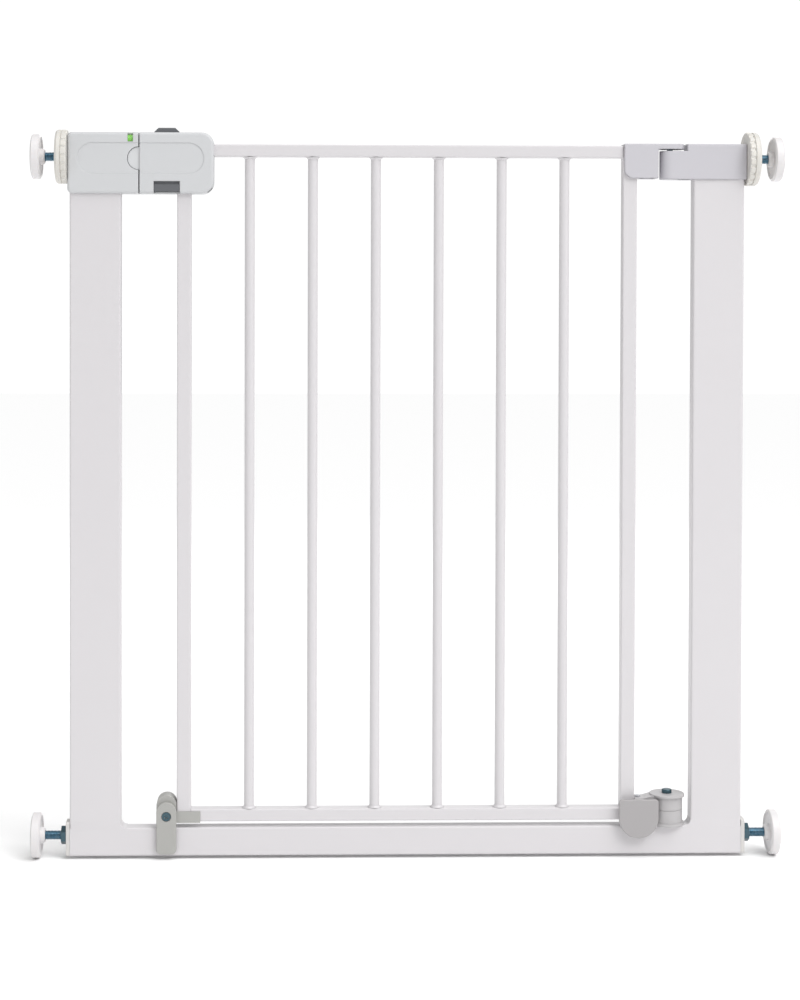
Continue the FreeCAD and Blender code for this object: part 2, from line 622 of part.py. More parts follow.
def spring_sweep(node, path, wire, radius, turn_to, spot):
    """Round wire swept along a helix."""
    section = doc.addObject("Part::Circle", node + "_wire")
    section.Radius = wire
    section.Placement = FreeCAD.Placement(FreeCAD.Vector(radius, 0, 0),
                                          FreeCAD.Rotation(FreeCAD.Vector(1, 0, 0), 90))
    sweep = doc.addObject("Part::Sweep", node)
    sweep.Sections = [section]
    sweep.Spine = (path, [])
    sweep.Solid = True
    sweep.Frenet = True
    sweep.Placement = FreeCAD.Placement(FreeCAD.Vector(), turn_to)
    place(sweep, *spot)
    keep(node, sweep)


def make_buttons():
    """Two buttons that are squeezed together to draw the bolt back."""
    span = (BUTTON_LEFT, BUTTON_RIGHT)
    body = new_body("top_button")
    sketch = new_sketch(body, "top_button_profile", "XZ_Plane", "-top_button_half")
    top = "latch_top + top_button_proud"
    shoulder = "latch_top - cover_wall - 0.4"
    outline(sketch, [(f"{span[0]} - 2", f"{shoulder} - 2"), (f"{span[1]} + 2", f"{shoulder} - 2"),
                     (f"{span[1]} + 2", shoulder), (span[1], shoulder), (span[1], "latch_top + 0.6"),
                     (f"{span[1]} - 4.6", top), (f"{span[0]} + 4.6", top), (span[0], "latch_top + 0.6"),
                     (span[0], shoulder), (f"{span[0]} - 2", shoulder)])
    pad(body, "top_button_block", sketch, "top_button_half * 2")
    round_off(body, "top_button_ease", "1.2", lambda edge: lies_at(edge, z=top))
    keep("top_button", body)

    low = "latch_low + 2.2"
    middle = f"{low} + low_button_high"
    plate = box("low_button_plate", span, ("-latch_half + 0.3", "-8.8"), (low, middle))
    lip = box("low_button_lip_plate", (f"{span[0]} - 1.5", f"{span[1]} + 1.5"),
              (f"-{COVER_IN} + 0.3", "-8.8"), (f"{middle} - 4.4", f"{middle} + low_button_lip + 1.5"))
    solid = join("low_button_solid", plate, lip)
    keep("bottom_button", solid)


def make_drum():
    """The lock indicator: a small drum, half green and half red, on an axle of its own."""
    span = (f"{WINDOW_X} - drum_half", f"{WINDOW_X} + drum_half")
    spot = {"y": "-drum_back", "z": "drum_level"}
    for colour, turned in (("green", 0), ("red", 180)):
        drum = rod(f"drum_{colour}", "x", span, "drum_radius", **spot)
        half = doc.addObject("Part::Box", f"drum_{colour}_half")
        for prop, length in (("Length", "drum_half * 2"), ("Width", "drum_radius * 2"), ("Height", "drum_radius * 4")):
            bind(half, prop, length)
        half.Placement = FreeCAD.Placement(FreeCAD.Vector(), FreeCAD.Rotation(
            FreeCAD.Vector(1, 0, 0), -45 + turned))
        # the half box stands on the drum's axis, so that its flat side cuts the drum in two
        shift = half.Placement.Rotation.multVec(FreeCAD.Vector(0, 0, -2 * number("drum_radius")))
        place(half, span[0], f"-drum_back + ({shift.y})", f"drum_level + ({shift.z})")
        shell = cut(f"drum_{colour}_piece", drum, half)
        if colour == "green":
            axle = rod("drum_axle_rod", "x", (f"{span[0]} - 2", f"{span[1]} + 1.4"), "drum_axle", **spot)
            shell = join("drum_green_on_axle", shell, axle)
            keep("indicator_green", shell)
        else:
            hole = rod("drum_axle_room", "x", (f"{span[0]} - 2", f"{span[1]} + 1.4"), "drum_axle + fit_gap",
                       **spot)
            keep("indicator_red", cut("drum_red_bored", shell, hole))


# ---- door ------------------------------------------------------------------------------------------

def make_door():
    deep = ("-door_deep / 2", "door_deep / 2")
    for node, low, high in (("latch_stile", STILE_LEFT, STILE_INNER), ("hinge_stile", HINGE_INNER, HINGE_STILE)):
        keep(node, flat_tube(node, "XY_Plane", (low, high), deep, "door_wall", "door_round",
                             "door_low", "door_top - door_low", "z"))
    length = f"{HINGE_INNER} - {STILE_INNER}"
    for node, low in (("top_rail", "door_top - door_rail_high"), ("lower_rail", "door_low")):
        keep(node, flat_tube(node, "YZ_Plane", deep, (low, f"{low} + door_rail_high"), "door_wall",
                             "door_round", STILE_INNER, length, "x"))
    bars = []
    clear = f"(({length}) - {2 * BARS} * bar_radius) / {BARS + 1}"
    high = "door_top - door_low - 2 * door_rail_high"
    for i in range(BARS):
        body = new_body(f"bar_{i + 1}")
        sketch = new_sketch(body, f"bar_{i + 1}_profile", "XZ_Plane")
        flare = "bar_radius + bar_flare"
        lean = "bar_radius + bar_flare * 0.3"
        outline(sketch, [("bar_radius - bar_wall", "0"), (flare, "0"), (lean, "bar_flare * 0.3"),
                         ("bar_radius", "bar_flare"), ("bar_radius", f"{high} - bar_flare"),
                         (lean, f"{high} - bar_flare * 0.3"), (flare, high), ("bar_radius - bar_wall", high)])
        turn(body, f"bar_{i + 1}_tube", sketch, "V_Axis")
        place(body, f"{STILE_INNER} + ({clear}) * {i + 1} + bar_radius * {2 * i + 1}", "0",
              "door_low + door_rail_high")
        bars.append(body)
    keep("bars", group("bars", *bars))


# ---- upper hinge -----------------------------------------------------------------------------------

def make_upper_hinge():
    thick = ("-hinge_half", "hinge_half")
    # the cap on the door's corner with the arm that reaches over the pin
    block = box("cap_block", (CAP_LEFT, f"{AXIS} - cap_reach"), thick, ("cap_low", "hinge_top"))
    left = number(CAP_LEFT)
    block = soften("cap_cornered", block, "cap_corner", lambda edge: runs_along(edge, "y")
                   and lies_at(edge, z="cap_low") and abs(ends(edge)[0].x - left) < 0.01)
    arm_box = box("arm_box", (f"{AXIS} - cap_reach", f"{AXIS} + arm_radius"), thick, ("arm_low", "hinge_top"))
    round_end = rod("arm_round", "z", ("arm_low", "hinge_top"), "arm_radius", x=AXIS)
    middle = box("arm_middle", (f"{AXIS} - cap_reach - 1", AXIS), thick, ("arm_low", "hinge_top"))
    arm = join("arm", common("arm_end", arm_box, round_end), middle)
    whole = join("cap_solid", block, arm)
    stile = box("cap_stile_way", (f"{CAP_LEFT} - 5", f"{HINGE_STILE} + seat_gap"),
                ("-door_deep / 2 - seat_gap / 2", "door_deep / 2 + seat_gap / 2"), ("cap_low - 1", "door_top"))
    hollow = box("cap_hollow", (f"{HINGE_STILE} + 3", f"{AXIS} - cap_reach - 3"), ("-hinge_half + 2.5",
                 "hinge_half - 2.5"), ("cap_low - 1", "hinge_top - 4"))
    bore = rod("arm_bore", "z", ("arm_low - 1", "hinge_top - 2"), "pin_radius + fit_gap", x=AXIS)
    way = rod("cap_screw_way", "y", ("door_deep / 2 - door_wall - 3", "hinge_half + 1"),
              "screw_radius + fit_gap", x=f"{HINGE_STILE} - stile_wide / 2", z="cap_low + 14")
    cap = cut("cap_cut", whole, stile, hollow, bore, way)
    top = number("hinge_top")
    cap = soften("cap_eased", cap, "0.8", lambda edge: len(ends(edge)) == 2
                 and all(abs(p.z - top) < 0.01 for p in ends(edge)))
    keep("upper_hinge_cap", cap)
    spot = {"x": f"{HINGE_STILE} - stile_wide / 2", "z": "cap_low + 14"}
    head = rod("cap_screw_head", "y", ("hinge_half", "hinge_half + 1.8"), "screw_head", **spot)
    shank = rod("cap_screw_shank", "y", ("door_deep / 2 + seat_gap", "hinge_half"), "screw_radius", **spot)
    keep("upper_cap_screw", join("upper_cap_screw", head, shank))

    # the housing over the top of the upright
    right = f"({HALF} + cover_wall + seat_gap)"
    tall = box("housing_tall", (f"{AXIS} + step_reach", right), thick, ("hinge_low", "hinge_top"))
    low = box("housing_low", (AXIS, f"{AXIS} + step_reach + 1"), thick, ("hinge_low", "hinge_step"))
    nose = rod("housing_nose", "z", ("hinge_low", "hinge_step"), "hinge_half", x=AXIS)
    solid = join("housing_solid", tall, low, nose)
    upright = box("housing_upright_way", (f"{HALF} - upright_wide - seat_gap", f"{HALF} + seat_gap"),
                  ("-frame_deep / 2 - seat_gap / 2", "frame_deep / 2 + seat_gap / 2"),
                  ("hinge_low - 1", "upright_top + seat_gap"))
    bush = rod("housing_bush_way", "x", (f"{HALF} - 1", f"{right} + 1"), "bush_radius + fit_gap", z="spindle_top")
    light = box("housing_light", (f"{AXIS} + 8", f"{HALF} - upright_wide - 2.5"), ("-hinge_half + 2.5",
                "hinge_half - 2.5"), ("hinge_low - 1", "hinge_step - 5"))
    pin = rod("housing_pin_way", "z", ("hinge_low + 4", "hinge_step + 1"), "pin_radius + fit_gap", x=AXIS)
    screw_x = f"{HALF} - upright_wide / 2"
    way = rod("housing_screw_way", "y", ("5", "hinge_half + 1"), "screw_radius + fit_gap", x=screw_x,
              z="hinge_low + 9")
    housing = cut("housing_cut", solid, upright, bush, light, pin, way)
    far = number(right)
    housing = soften("housing_eased", housing, "1.2", lambda edge: lies_at(edge, z="hinge_top")
                     and (runs_along(edge, "x") or abs(ends(edge)[0].x - far) < 0.01))
    keep("hinge_housing", housing)
    head = rod("housing_screw_head", "y", ("hinge_half", "hinge_half + 1.8"), "screw_head", x=screw_x,
               z="hinge_low + 9")
    shank = rod("housing_screw_shank", "y", ("frame_deep / 2 + seat_gap", "hinge_half"), "screw_radius",
                x=screw_x, z="hinge_low + 9")
    keep("hinge_housing_screw", join("hinge_housing_screw", head, shank))
    keep("upper_hinge_pin", rod("upper_hinge_pin", "z", ("hinge_low + 4.2", "hinge_top - 2.3"), "pin_radius", x=AXIS))


# ---- lower hinge -----------------------------------------------------------------------------------

def make_lower_hinge():
    bore = "bolt_shank + fit_gap"
    room = ("spring_coil - spring_wire * 1.9", "spring_coil + spring_wire * 1.9")
    # the half that is bolted to the bottom rail
    flange = rod("base_flange", "z", ("rail_high", "rail_high + flange_high"), "flange_radius", x=AXIS)
    barrel = rod("base_barrel", "z", ("rail_high", "barrel_split - 0.3"), "barrel_radius", x=AXIS)
    middle = rod("base_bore", "z", ("rail_high - 1", "barrel_split + 1"), bore, x=AXIS)
    well = cut("base_well", rod("base_well_outer", "z", ("barrel_split - 9", "barrel_split + 1"), room[1], x=AXIS),
               rod("base_well_inner", "z", ("barrel_split - 10", "barrel_split + 2"), room[0], x=AXIS))
    keep("lower_hinge_base", cut("lower_hinge_base", join("base_solid", flange, barrel), middle, well))

    # the half on the door: barrel, disc, sloping arm and web beside the stile
    upper = rod("bracket_barrel", "z", ("barrel_split", "disc_low + 1"), "barrel_radius", x=AXIS)
    disc = rod("bracket_disc", "z", ("disc_low", "disc_top"), "disc_radius", x=AXIS)
    level = number("disc_top")
    disc = soften("bracket_disc_eased", disc, "0.8", lambda edge: edge.BoundBox.ZMin > level - 0.01)
    body = new_body("bracket_web")
    sketch = new_sketch(body, "bracket_web_profile", "XZ_Plane", "-stop_back")
    left = f"{HINGE_STILE} + seat_gap"
    inner = f"{AXIS} - web_reach"
    outline(sketch, [(left, "door_low"), (inner, "door_low"), (inner, "barrel_split + 0.3"),
                     (f"{AXIS} - 8", "barrel_split + 0.3"), (f"{AXIS} - 8", "disc_top - 0.9"),
                     (f"{AXIS} - disc_radius + 2", "disc_top - 0.9"), (f"{left} + tab_long", "web_top"), (left, "web_top")])
    pad(body, "bracket_web_block", sketch, "web_front + stop_back")
    middle = rod("bracket_bore", "z", ("barrel_split - 1", "disc_top + 1"), bore, x=AXIS)
    well = cut("bracket_well", rod("bracket_well_outer", "z", ("barrel_split - 1", "barrel_split + 9"), room[1], x=AXIS),
               rod("bracket_well_inner", "z", ("barrel_split - 2", "barrel_split + 10"), room[0], x=AXIS))
    screw_x = f"{left} + 4"
    way = rod("bracket_screw_way", "z", ("web_top - 8.5", "web_top + 5"), "screw_radius + fit_gap", x=screw_x, y="-2")
    keep("lower_hinge_bracket", cut("lower_hinge_bracket", join("bracket_solid", upper, disc, body),
                                    middle, well, way))
    head = rod("bracket_screw_head", "z", ("web_top", "web_top + 1.8"), "screw_head", x=screw_x, y="-2")
    shank = rod("bracket_screw_shank", "z", ("web_top - 8", "web_top"), "screw_radius", x=screw_x, y="-2")
    keep("bracket_screw", join("bracket_screw", head, shank))

    coil = doc.addObject("Part::Helix", "closing_spring_path")
    bind(coil, "Radius", "spring_coil")
    bind(coil, "Height", "18 - spring_wire * 2 - 1.2")
    bind(coil, "Pitch", "spring_room")
    coil.SegmentLength = 1
    spring_sweep("closing_spring", coil, number("spring_wire"), number("spring_coil"), FreeCAD.Rotation(),
                 (AXIS, "0", "barrel_split - 9 + spring_wire + 0.6"))

    head = rod("hinge_bolt_head_blank", "z", ("disc_top + 0.2", "disc_top + 0.2 + hinge_bolt_high"),
               "hinge_bolt_head", x=AXIS)
    head = soften("hinge_bolt_dome", head, "1.2", lambda edge: edge.BoundBox.ZMin > level + 2)
    shank = rod("hinge_bolt_shank", "z", ("rail_high - 8", "disc_top + 1"), "bolt_shank", x=AXIS)
    keep("lower_hinge_bolt", join("lower_hinge_bolt", head, shank))
    make_nut("lower_hinge_nut", False, "hinge_nut_flats", "hinge_nut_thick", "bolt_shank + fit_gap", AXIS,
             "rail_high - frame_wall - seat_gap - hinge_nut_thick")

    # the rounded shield in front of the door's corner
    span = ("-shield_front", "-shield_back")
    width = (f"{AXIS} - shield_left", f"{AXIS} - shield_right")
    radius = "(shield_left - shield_right) / 2"
    upper = box("shield_upper", width, span, (f"shield_low + {radius}", "shield_top"))
    top = number("shield_top")
    upper = soften("shield_cornered", upper, "3", lambda edge: runs_along(edge, "y") and abs(ends(edge)[0].z - top) < 0.01)
    lower = rod("shield_lower", "y", span, radius, x=f"{AXIS} - (shield_left + shield_right) / 2",
                z=f"shield_low + {radius}")
    foot = box("shield_foot", (f"{HINGE_STILE} + 1", f"{inner} - 1"), ("-shield_back - 0.5", "-web_front"),
               ("door_low + 4", "web_top - 4"))
    shield = join("shield_solid", upper, lower, foot)
    face = -number("shield_front")
    shield = soften("shield_eased", shield, "1.3", lambda edge: all(abs(p.y - face) < 0.01 for p in ends(edge)))
    keep("hinge_shield", shield)


# ---- swing stop ------------------------------------------------------------------------------------

def make_swing_stop():
    side = (f"{STOP_X} - stop_wide / 2", f"{STOP_X} + stop_wide / 2")
    radius = "stop_wide / 2"
    deep = ("-stop_front", "stop_back")
    column = box("stop_column", side, deep, ("door_low", f"stop_dome - {radius}"))
    dome = rod("stop_dome_top", "y", deep, radius, x=STOP_X, z=f"stop_dome - {radius}")
    sleeve = box("stop_sleeve", (f"{STILE_LEFT} - 1", f"{STILE_LEFT} + sleeve_long"),
                 ("-door_deep / 2 - sleeve_wall", "-door_deep / 2 - 0.1"), ("door_low - 1", "door_low + 11"))
    way = rod("stop_screw_way", "y", ("-stop_front - 1", "-2"), "screw_radius + 0.45", x=STOP_X, z="stop_pivot")
    keep("stop_body", cut("stop_body", join("stop_solid", column, dome, sleeve), way))

    span = ("-flap_front", "-flap_back")
    tongue = box("flap_tongue", side, span, ("flap_low", f"flap_top - {radius}"))
    low = number("flap_low")
    tongue = soften("flap_foot", tongue, "4.5", lambda edge: runs_along(edge, "y") and abs(ends(edge)[0].z - low) < 0.01)
    head = rod("flap_head", "y", span, radius, x=STOP_X, z=f"flap_top - {radius}")
    flap = join("flap_solid", tongue, head)
    way = rod("flap_screw_way", "y", ("-flap_front - 1", "-flap_back + 1"), "screw_radius + 0.45", x=STOP_X,
              z="stop_pivot")
    well = rod("flap_screw_well", "y", ("-flap_front - 1", "-flap_front + 1.6"), "5.2", x=STOP_X, z="stop_pivot")
    flap = cut("flap_cut", flap, way, well)
    face = -number("flap_front")
    flap = soften("flap_eased", flap, "1", lambda edge: all(abs(p.y - face) < 0.01 for p in ends(edge))
                  and not (edge.Curve.TypeId == "Part::GeomCircle" and edge.Curve.Radius < 8
                           and abs(edge.Curve.Center.z - number("stop_pivot")) < 0.01))
    keep("stop_flap", flap)
    head = rod("stop_screw_head", "y", ("-flap_front + 0.2", "-flap_front + 1.5"), "4.6", x=STOP_X, z="stop_pivot")
    shank = rod("stop_screw_shank", "y", ("-flap_front + 1.4", "-3"), "screw_radius + 0.4", x=STOP_X, z="stop_pivot")
    socket = rod("stop_screw_socket", "y", ("-flap_front", "-flap_front + 1"), "2", x=STOP_X, z="stop_pivot")
    keep("stop_screw", cut("stop_screw", join("stop_screw_solid", head, shank), socket))


# ---- the whole gate --------------------------------------------------------------------------------

def write_parts():
    doc.recompute()
    for thing in doc.Objects:
        if "Invalid" in thing.State or "Error" in thing.State:
            raise ValueError(f"{thing.Name} ({thing.Label}) failed: {thing.State}")
    os.makedirs("parts", exist_ok=True)
    for node, piece in finished.items():
        shape = piece.Shape
        if shape.isNull() or not shape.isValid() or shape.Volume <= 0:
            raise ValueError(f"{node} has no valid shape")
        shape.exportStep(f"parts/{node}.step")
        lengths = shape.BoundBox
        print(f"{node:22s} {len(shape.Solids)} solid(s) {shape.Volume:10.1f} mm3 "
              f"x {lengths.XMin:7.1f} {lengths.XMax:7.1f} y {lengths.YMin:6.1f} {lengths.YMax:6.1f} "
              f"z {lengths.ZMin:6.1f} {lengths.ZMax:6.1f}")


make_frame()
for side, sign in (("left", -1), ("right", 1)):
    make_end_cap(side, sign)
    for height, level in (("top", "spindle_top"), ("bottom", "spindle_low")):
        make_spindle(f"{height}_{side}", sign, level)
    make_bush(f"top_{side}", sign, "spindle_top")
    make_wheel(f"top_{side}", sign, "spindle_top")
    nut_x = f"{HALF} + cap_thick + seat_gap" if sign > 0 else f"-({HALF} + cap_thick + seat_gap)"
    make_nut(f"bottom_{side}_nut", True, "nut_flats", "nut_thick", "rod_radius + fit_gap", nut_x, "spindle_low", sign)
make_latch()
make_door()
make_upper_hinge()
make_lower_hinge()
make_swing_stop()
write_parts()
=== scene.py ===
"""Safety baby gate: finishes, threaded rods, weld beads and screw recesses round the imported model, in metres."""

import json
import math

import bpy
import bmesh
from mathutils import Matrix, Vector


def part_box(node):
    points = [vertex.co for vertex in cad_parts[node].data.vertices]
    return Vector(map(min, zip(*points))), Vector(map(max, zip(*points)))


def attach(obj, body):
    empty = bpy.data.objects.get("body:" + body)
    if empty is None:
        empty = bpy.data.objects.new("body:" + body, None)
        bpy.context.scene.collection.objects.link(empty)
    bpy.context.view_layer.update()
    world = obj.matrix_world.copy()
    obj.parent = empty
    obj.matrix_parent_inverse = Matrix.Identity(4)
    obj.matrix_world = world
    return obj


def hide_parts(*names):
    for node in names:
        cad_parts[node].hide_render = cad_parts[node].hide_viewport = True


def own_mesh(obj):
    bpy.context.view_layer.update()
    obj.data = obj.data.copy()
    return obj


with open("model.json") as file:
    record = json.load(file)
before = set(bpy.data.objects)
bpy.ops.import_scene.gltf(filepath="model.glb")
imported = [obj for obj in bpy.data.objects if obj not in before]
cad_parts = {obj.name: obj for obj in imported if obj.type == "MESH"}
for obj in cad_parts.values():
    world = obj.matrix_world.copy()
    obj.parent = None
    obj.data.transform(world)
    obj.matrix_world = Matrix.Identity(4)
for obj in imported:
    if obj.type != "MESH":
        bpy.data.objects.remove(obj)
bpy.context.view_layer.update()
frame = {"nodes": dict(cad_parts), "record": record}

ROD_PITCH = 0.0015
ROD_CORE = 0.0042
ROD_CREST = 0.00497
BAR_RADIUS = 0.0053
WELD_HIGH = 0.0024
WELD_SPREAD = 0.0021
RECESS_WIDE = 0.0042
RECESS_DEEP = 0.0013
SOCKET_WIDE = 0.0048
SOCKET_DEEP = 0.0022


# ---- shader groups shared by the finishes ----------------------------------------------------------

def new_group(name, inputs, outputs):
    """An empty shader group with its named sockets: inputs and outputs are (name, kind, value)."""
    tree = bpy.data.node_groups.new(name, "ShaderNodeTree")
    for direction, sockets in (("INPUT", inputs), ("OUTPUT", outputs)):
        for socket_name, kind, value in sockets:
            socket = tree.interface.new_socket(name=socket_name, in_out=direction, socket_type=kind)
            if value is not None:
                socket.default_value = value
    return tree, tree.nodes.new("NodeGroupInput"), tree.nodes.new("NodeGroupOutput")


def add(tree, kind, links=None, **values):
    """One node in tree: values set its attributes, links feed its sockets from sockets or numbers."""
    node = tree.nodes.new(kind)
    for key, value in values.items():
        setattr(node, key, value)
    for key, source in (links or {}).items():
        socket = node.inputs[key]
        if isinstance(source, bpy.types.NodeSocket):
            tree.links.new(source, socket)
        else:
            socket.default_value = source
    return node


def noise(tree, place, scale, detail=3.0, rough=0.55):
    return add(tree, "ShaderNodeTexNoise", {"Vector": place, "Scale": scale, "Detail": detail,
                                            "Roughness": rough}).outputs["Fac"]


def math_node(tree, operation, first, second=0.0, clamp=False):
    return add(tree, "ShaderNodeMath", {0: first, 1: second}, operation=operation, use_clamp=clamp).outputs[0]


def spread(tree, value, low, high, to_low, to_high):
    return add(tree, "ShaderNodeMapRange", {"Value": value, "From Min": low, "From Max": high,
                                            "To Min": to_low, "To Max": to_high}).outputs["Result"]


def mix_colour(tree, factor, first, second):
    node = add(tree, "ShaderNodeMix", data_type="RGBA")
    for index, source in ((0, factor), (6, first), (7, second)):
        if isinstance(source, bpy.types.NodeSocket):
            tree.links.new(source, node.inputs[index])
        else:
            node.inputs[index].default_value = source
    return node.outputs[2]


def make_grain():
    """Fine surface grain: a tint that drifts, a roughness that follows it and a height for the bump."""
    tree, given, out = new_group(
        "fine_grain",
        [("Colour", "NodeSocketColor", (0.8, 0.8, 0.8, 1)), ("Roughness", "NodeSocketFloat", 0.4),
         ("Grain Scale", "NodeSocketFloat", 2200.0), ("Drift", "NodeSocketFloat", 0.03)],
        [("Colour", "NodeSocketColor", None), ("Roughness", "NodeSocketFloat", None),
         ("Height", "NodeSocketFloat", None)])
    place = add(tree, "ShaderNodeTexCoord").outputs["Object"]
    fine = noise(tree, place, given.outputs["Grain Scale"], 2.0)
    broad = noise(tree, place, 9.0, 4.0)
    drift = math_node(tree, "MULTIPLY", math_node(tree, "SUBTRACT", broad, 0.5), given.outputs["Drift"])
    shade = math_node(tree, "ADD", drift, 1.0)
    colour = add(tree, "ShaderNodeVectorMath", {0: given.outputs["Colour"]}, operation="SCALE")
    tree.links.new(shade, colour.inputs["Scale"])
    rough = math_node(tree, "ADD", given.outputs["Roughness"],
                      math_node(tree, "MULTIPLY", math_node(tree, "SUBTRACT", fine, 0.5), 0.12))
    tree.links.new(colour.outputs[0], out.inputs["Colour"])
    tree.links.new(rough, out.inputs["Roughness"])
    tree.links.new(fine, out.inputs["Height"])
    return tree


def make_dust():
    """A thin veil of household dust on faces that look up, broken by a soft noise."""
    tree, given, out = new_group(
        "settled_dust",
        [("Colour", "NodeSocketColor", (0.8, 0.8, 0.8, 1)), ("Amount", "NodeSocketFloat", 0.1)],
        [("Colour", "NodeSocketColor", None), ("Mask", "NodeSocketFloat", None)])
    place = add(tree, "ShaderNodeTexCoord").outputs["Object"]
    facing = add(tree, "ShaderNodeSeparateXYZ",
                 {0: add(tree, "ShaderNodeNewGeometry").outputs["Normal"]}).outputs["Z"]
    up = spread(tree, facing, 0.6, 1.0, 0.0, 1.0)
    patch = spread(tree, noise(tree, place, 160.0, 5.0), 0.4, 0.7, 0.0, 1.0)
    mask = math_node(tree, "MULTIPLY", math_node(tree, "MULTIPLY", up, patch), given.outputs["Amount"], True)
    tree.links.new(mask, out.inputs["Mask"])
    tree.links.new(mix_colour(tree, mask, given.outputs["Colour"], (0.62, 0.6, 0.57, 1)),
                   out.inputs["Colour"])
    return tree


def make_edge_scuff_and_highlight():
    """A mask of sharp edges, from how sharply the surface turns: their lighter colour is partly edge scuffing and
    partly a painted edge highlight.
    """
    tree, given, out = new_group(
        "scuffed_and_highlighted_edges",
        [("Colour", "NodeSocketColor", (0.8, 0.8, 0.8, 1)), ("Scuff And Highlight Colour", "NodeSocketColor", (0.9, 0.9, 0.9, 1)),
         ("Amount", "NodeSocketFloat", 0.2)],
        [("Colour", "NodeSocketColor", None), ("Mask", "NodeSocketFloat", None)])
    place = add(tree, "ShaderNodeTexCoord").outputs["Object"]
    true_normal = add(tree, "ShaderNodeNewGeometry").outputs["Normal"]
    soft_normal = add(tree, "ShaderNodeBevel", {"Radius": 0.0009}, samples=4).outputs["Normal"]
    agree = add(tree, "ShaderNodeVectorMath", {0: true_normal, 1: soft_normal}, operation="DOT_PRODUCT")
    turned = spread(tree, agree.outputs["Value"], 0.995, 0.88, 0.0, 1.0)
    patch = spread(tree, noise(tree, place, 260.0, 4.0), 0.42, 0.62, 0.0, 1.0)
    mask = math_node(tree, "MULTIPLY", math_node(tree, "MULTIPLY", turned, patch), given.outputs["Amount"], True)
    tree.links.new(mask, out.inputs["Mask"])
    tree.links.new(mix_colour(tree, mask, given.outputs["Colour"], given.outputs["Scuff And Highlight Colour"]),
                   out.inputs["Colour"])
    return tree


GRAIN = make_grain()
DUST = make_dust()
EDGE_SCUFF_AND_HIGHLIGHT = make_edge_scuff_and_highlight()


def finish_of(name, colour, roughness, grain=2200.0, bump=0.00002, drift=0.03, metallic=0.0, coat=0.0,
              dust=0.04, edge_scuff_and_highlight=0.06, scuff_and_highlight_colour=(0.9, 0.9, 0.9), edge=0.0006, specular=0.5, glow_through=0.0):
    """One finish: grain, lighter sharp edges (partly scuffs, partly a painted edge highlight) and dust feed a
    single Principled shader; edge rounds sharp corners.
    """
    material = bpy.data.materials.new(name)
    material.use_nodes = True
    tree = material.node_tree
    tree.nodes.clear()
    out = tree.nodes.new("ShaderNodeOutputMaterial")
    shader = tree.nodes.new("ShaderNodeBsdfPrincipled")
    tree.links.new(shader.outputs[0], out.inputs["Surface"])
    surface = add(tree, "ShaderNodeGroup", node_tree=GRAIN)
    surface.inputs["Colour"].default_value = (*colour, 1)
    surface.inputs["Roughness"].default_value = roughness
    surface.inputs["Grain Scale"].default_value = grain
    surface.inputs["Drift"].default_value = drift
    # sharp edges take a lighter colour: partly edge scuffs, partly a painted edge highlight
    scuffed_and_highlighted = add(tree, "ShaderNodeGroup", node_tree=EDGE_SCUFF_AND_HIGHLIGHT)
    tree.links.new(surface.outputs["Colour"], scuffed_and_highlighted.inputs["Colour"])
    scuffed_and_highlighted.inputs["Scuff And Highlight Colour"].default_value = (*scuff_and_highlight_colour, 1)
    scuffed_and_highlighted.inputs["Amount"].default_value = edge_scuff_and_highlight
    dusty = add(tree, "ShaderNodeGroup", node_tree=DUST)
    tree.links.new(scuffed_and_highlighted.outputs["Colour"], dusty.inputs["Colour"])
    dusty.inputs["Amount"].default_value = dust
    tree.links.new(dusty.outputs["Colour"], shader.inputs["Base Color"])
    rough = math_node(tree, "ADD", surface.outputs["Roughness"],
                      math_node(tree, "MULTIPLY", dusty.outputs["Mask"], 0.5), True)
    tree.links.new(rough, shader.inputs["Roughness"])
    raised = add(tree, "ShaderNodeBump", {"Strength": 1.0, "Distance": bump,
                                          "Height": surface.outputs["Height"]})
    if edge:
        rounded = add(tree, "ShaderNodeBevel", {"Radius": edge}, samples=6)
        tree.links.new(rounded.outputs["Normal"], raised.inputs["Normal"])
    tree.links.new(raised.outputs["Normal"], shader.inputs["Normal"])
    shader.inputs["Metallic"].default_value = metallic
    shader.inputs["Coat Weight"].default_value = coat
    shader.inputs["Coat Roughness"].default_value = 0.2
    shader.inputs["Specular IOR Level"].default_value = specular
    if glow_through:
        shader.inputs["Subsurface Weight"].default_value = glow_through
        shader.inputs["Subsurface Radius"].default_value = (0.6, 0.5, 0.4)
        shader.inputs["Subsurface Scale"].default_value = 0.001
    return material


def clear_window():
    """The indicator's thin clear window: see-through, with a faint scuff in its roughness."""
    material = bpy.data.materials.new("clear_window")
    material.use_nodes = True
    tree = material.node_tree
    shader = tree.nodes["Principled BSDF"]
    place = add(tree, "ShaderNodeTexCoord").outputs["Object"]
    scuff = spread(tree, noise(tree, place, 900.0, 4.0), 0.45, 0.75, 0.03, 0.12)
    tree.links.new(scuff, shader.inputs["Roughness"])
    shader.inputs["Base Color"].default_value = (0.4, 0.5, 0.35, 1)
    shader.inputs["Alpha"].default_value = 0.1
    shader.inputs["IOR"].default_value = 1.45
    return material


